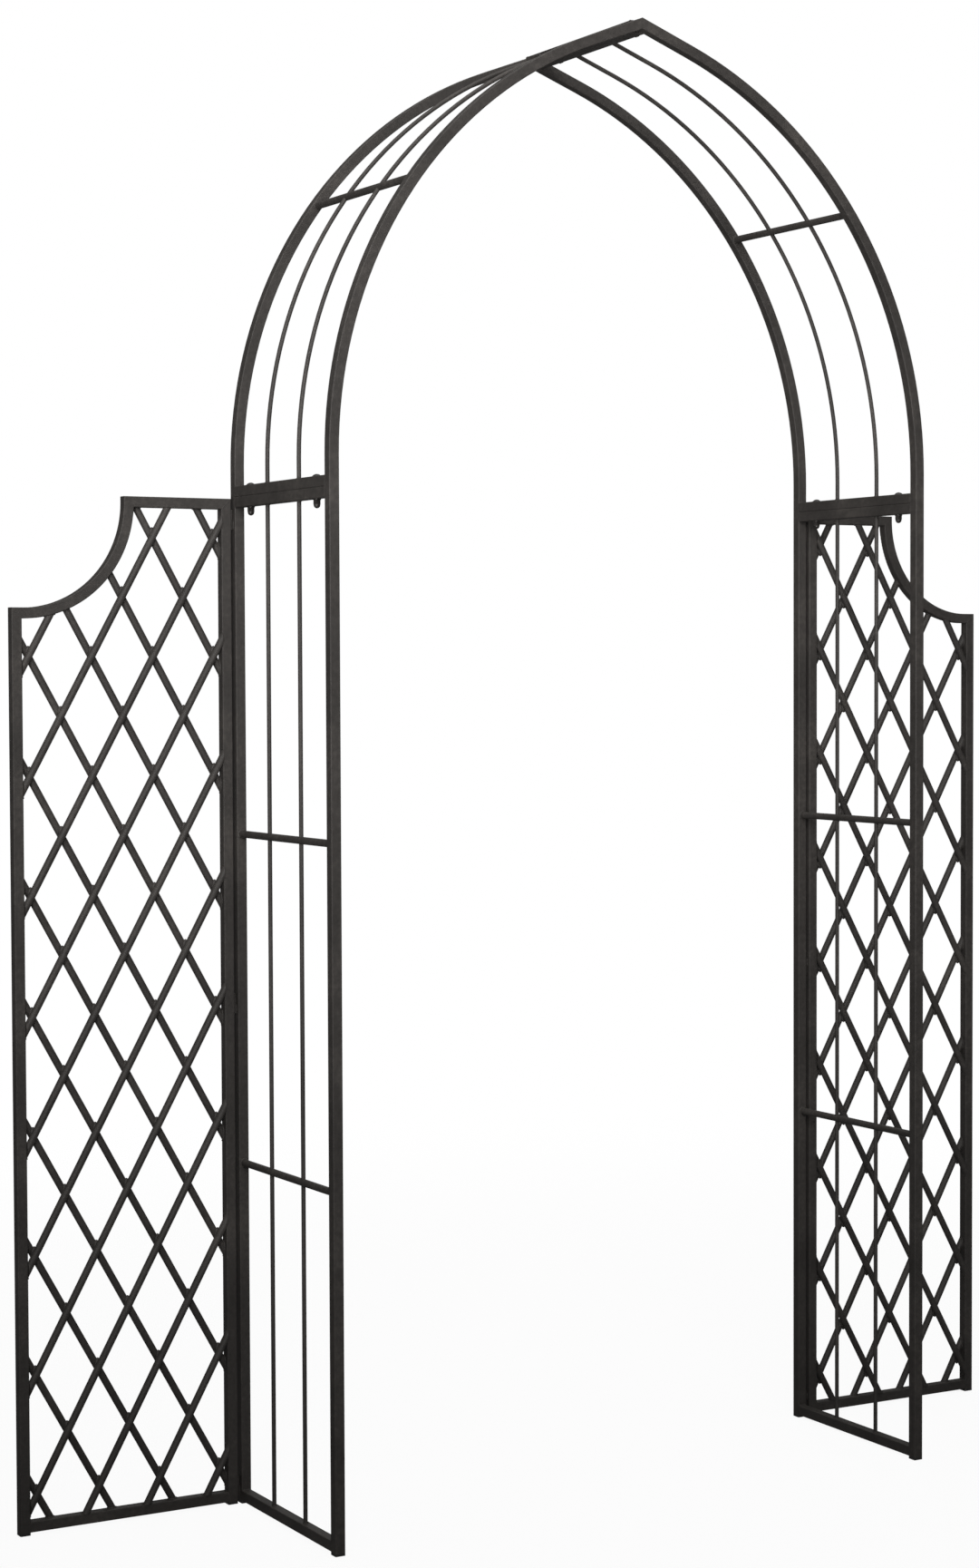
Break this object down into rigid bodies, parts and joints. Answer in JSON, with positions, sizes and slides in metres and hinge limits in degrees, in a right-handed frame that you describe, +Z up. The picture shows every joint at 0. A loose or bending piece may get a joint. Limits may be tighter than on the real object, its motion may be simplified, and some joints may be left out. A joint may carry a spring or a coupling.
{
  "type": "garden trellis arch",
  "caption": "Free-standing square-tube garden arch with ladder-like sides, a pointed curved top and hinged lattice wings with scalloped shoulders.",
  "frame": {"origin": "bottom centre of the bounding box, on the ground in the middle of the passage", "axes": "+Z up, +Y to the back, where the wings hang, +X across the passage to the right as seen from the front"},
  "size_m": [1.7642, 0.338, 2.2387],
  "materials": {
    "bronze_paint": "satin dark bronze paint",
    "dark_fastener_steel": "satin black-brown coated steel",
    "black_plastic": "matt black moulded plastic"
  },
  "bodies": {
    "frame": {"left_rear_post": "bronze_paint", "left_front_post": "bronze_paint", "left_bottom_bar": "bronze_paint", "left_top_bar": "bronze_paint", "left_lower_crossbar": "bronze_paint", "left_upper_crossbar": "bronze_paint", "left_rear_rod": "bronze_paint", "left_front_rod": "bronze_paint", "left_side_plugs": "black_plastic", "right_rear_post": "bronze_paint", "right_front_post": "bronze_paint", "right_bottom_bar": "bronze_paint", "right_top_bar": "bronze_paint", "right_lower_crossbar": "bronze_paint", "right_upper_crossbar": "bronze_paint", "right_rear_rod": "bronze_paint", "right_front_rod": "bronze_paint", "right_side_plugs": "black_plastic", "left_rear_rib": "bronze_paint", "left_front_rib": "bronze_paint", "left_base_bar": "bronze_paint", "left_ridge_bar": "bronze_paint", "left_arch_crossbar": "bronze_paint", "left_arch_rear_rod": "bronze_paint", "left_arch_front_rod": "bronze_paint", "right_rear_rib": "bronze_paint", "right_front_rib": "bronze_paint", "right_base_bar": "bronze_paint", "right_ridge_bar": "bronze_paint", "right_arch_crossbar": "bronze_paint", "right_arch_rear_rod": "bronze_paint", "right_arch_front_rod": "bronze_paint", "left_hinge_sockets": "bronze_paint", "left_hinge_pins": "dark_fastener_steel", "right_hinge_sockets": "bronze_paint", "right_hinge_pins": "dark_fastener_steel", "coach_bolts": "dark_fastener_steel", "bolt_washers": "dark_fastener_steel", "cap_nuts": "dark_fastener_steel"},
    "left_wing": {"left_wing_inner_post": "bronze_paint", "left_wing_outer_post": "bronze_paint", "left_wing_bottom_bar": "bronze_paint", "left_wing_top_bar": "bronze_paint", "left_wing_scallop": "bronze_paint", "left_wing_rising_bars": "bronze_paint", "left_wing_falling_bars": "bronze_paint", "left_wing_plugs": "black_plastic", "left_hinge_knuckles": "bronze_paint"},
    "right_wing": {"right_wing_inner_post": "bronze_paint", "right_wing_outer_post": "bronze_paint", "right_wing_bottom_bar": "bronze_paint", "right_wing_top_bar": "bronze_paint", "right_wing_scallop": "bronze_paint", "right_wing_rising_bars": "bronze_paint", "right_wing_falling_bars": "bronze_paint", "right_wing_plugs": "black_plastic", "right_hinge_knuckles": "bronze_paint"}
  },
  "joints": [
    {"name": "left_wing_hinge", "type": "hinge", "parent": "frame", "child": "left_wing", "pos_m": [-0.52905, 0.158, 0.765], "axis": [0, 0, 1], "range_deg": [-45, 45]},
    {"name": "right_wing_hinge", "type": "hinge", "parent": "frame", "child": "right_wing", "pos_m": [0.52905, 0.158, 0.765], "axis": [0, 0, 1], "range_deg": [-45, 45]}
  ]
}
